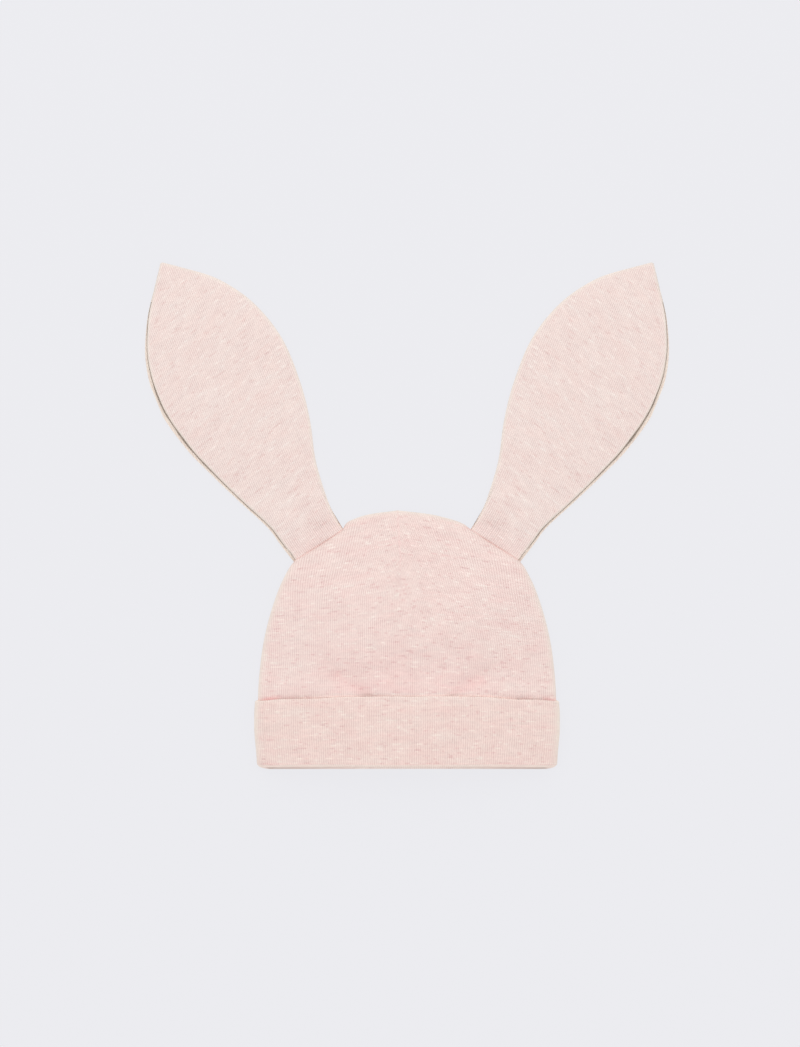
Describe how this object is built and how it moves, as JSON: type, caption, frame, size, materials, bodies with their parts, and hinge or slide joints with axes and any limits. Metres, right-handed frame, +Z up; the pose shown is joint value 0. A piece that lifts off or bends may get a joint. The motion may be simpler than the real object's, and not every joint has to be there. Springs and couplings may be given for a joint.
{
  "type": "baby hat with ears",
  "caption": "Soft rib-knit baby hat with a turned-up cuff and long pointed ears sewn into the crown seam, lying flat on its back.",
  "frame": {"origin": "middle of the underside, on the surface the hat lies on", "axes": "+X across the hat to the right as seen from the front, +Y from the mouth towards the ear tips, +Z up out of the front of the hat"},
  "size_m": [0.2832, 0.2732, 0.0217],
  "materials": {
    "crown_jersey": "fine rib jersey in a pale pink and cream melange, matte",
    "cuff_rib": "fine one-by-one rib in a pale pink and cream melange, matte",
    "ear_jersey": "fine rib jersey in a pale cream and pink melange, matte",
    "ear_back_jersey": "the same jersey, seen in shade at the edge, matte"
  },
  "bodies": {
    "root": {"crown": "crown_jersey", "cuff": "cuff_rib", "ear_front_left": "ear_jersey", "ear_back_left": "ear_back_jersey", "ear_front_right": "ear_jersey", "ear_back_right": "ear_back_jersey"}
  },
  "joints": []
}
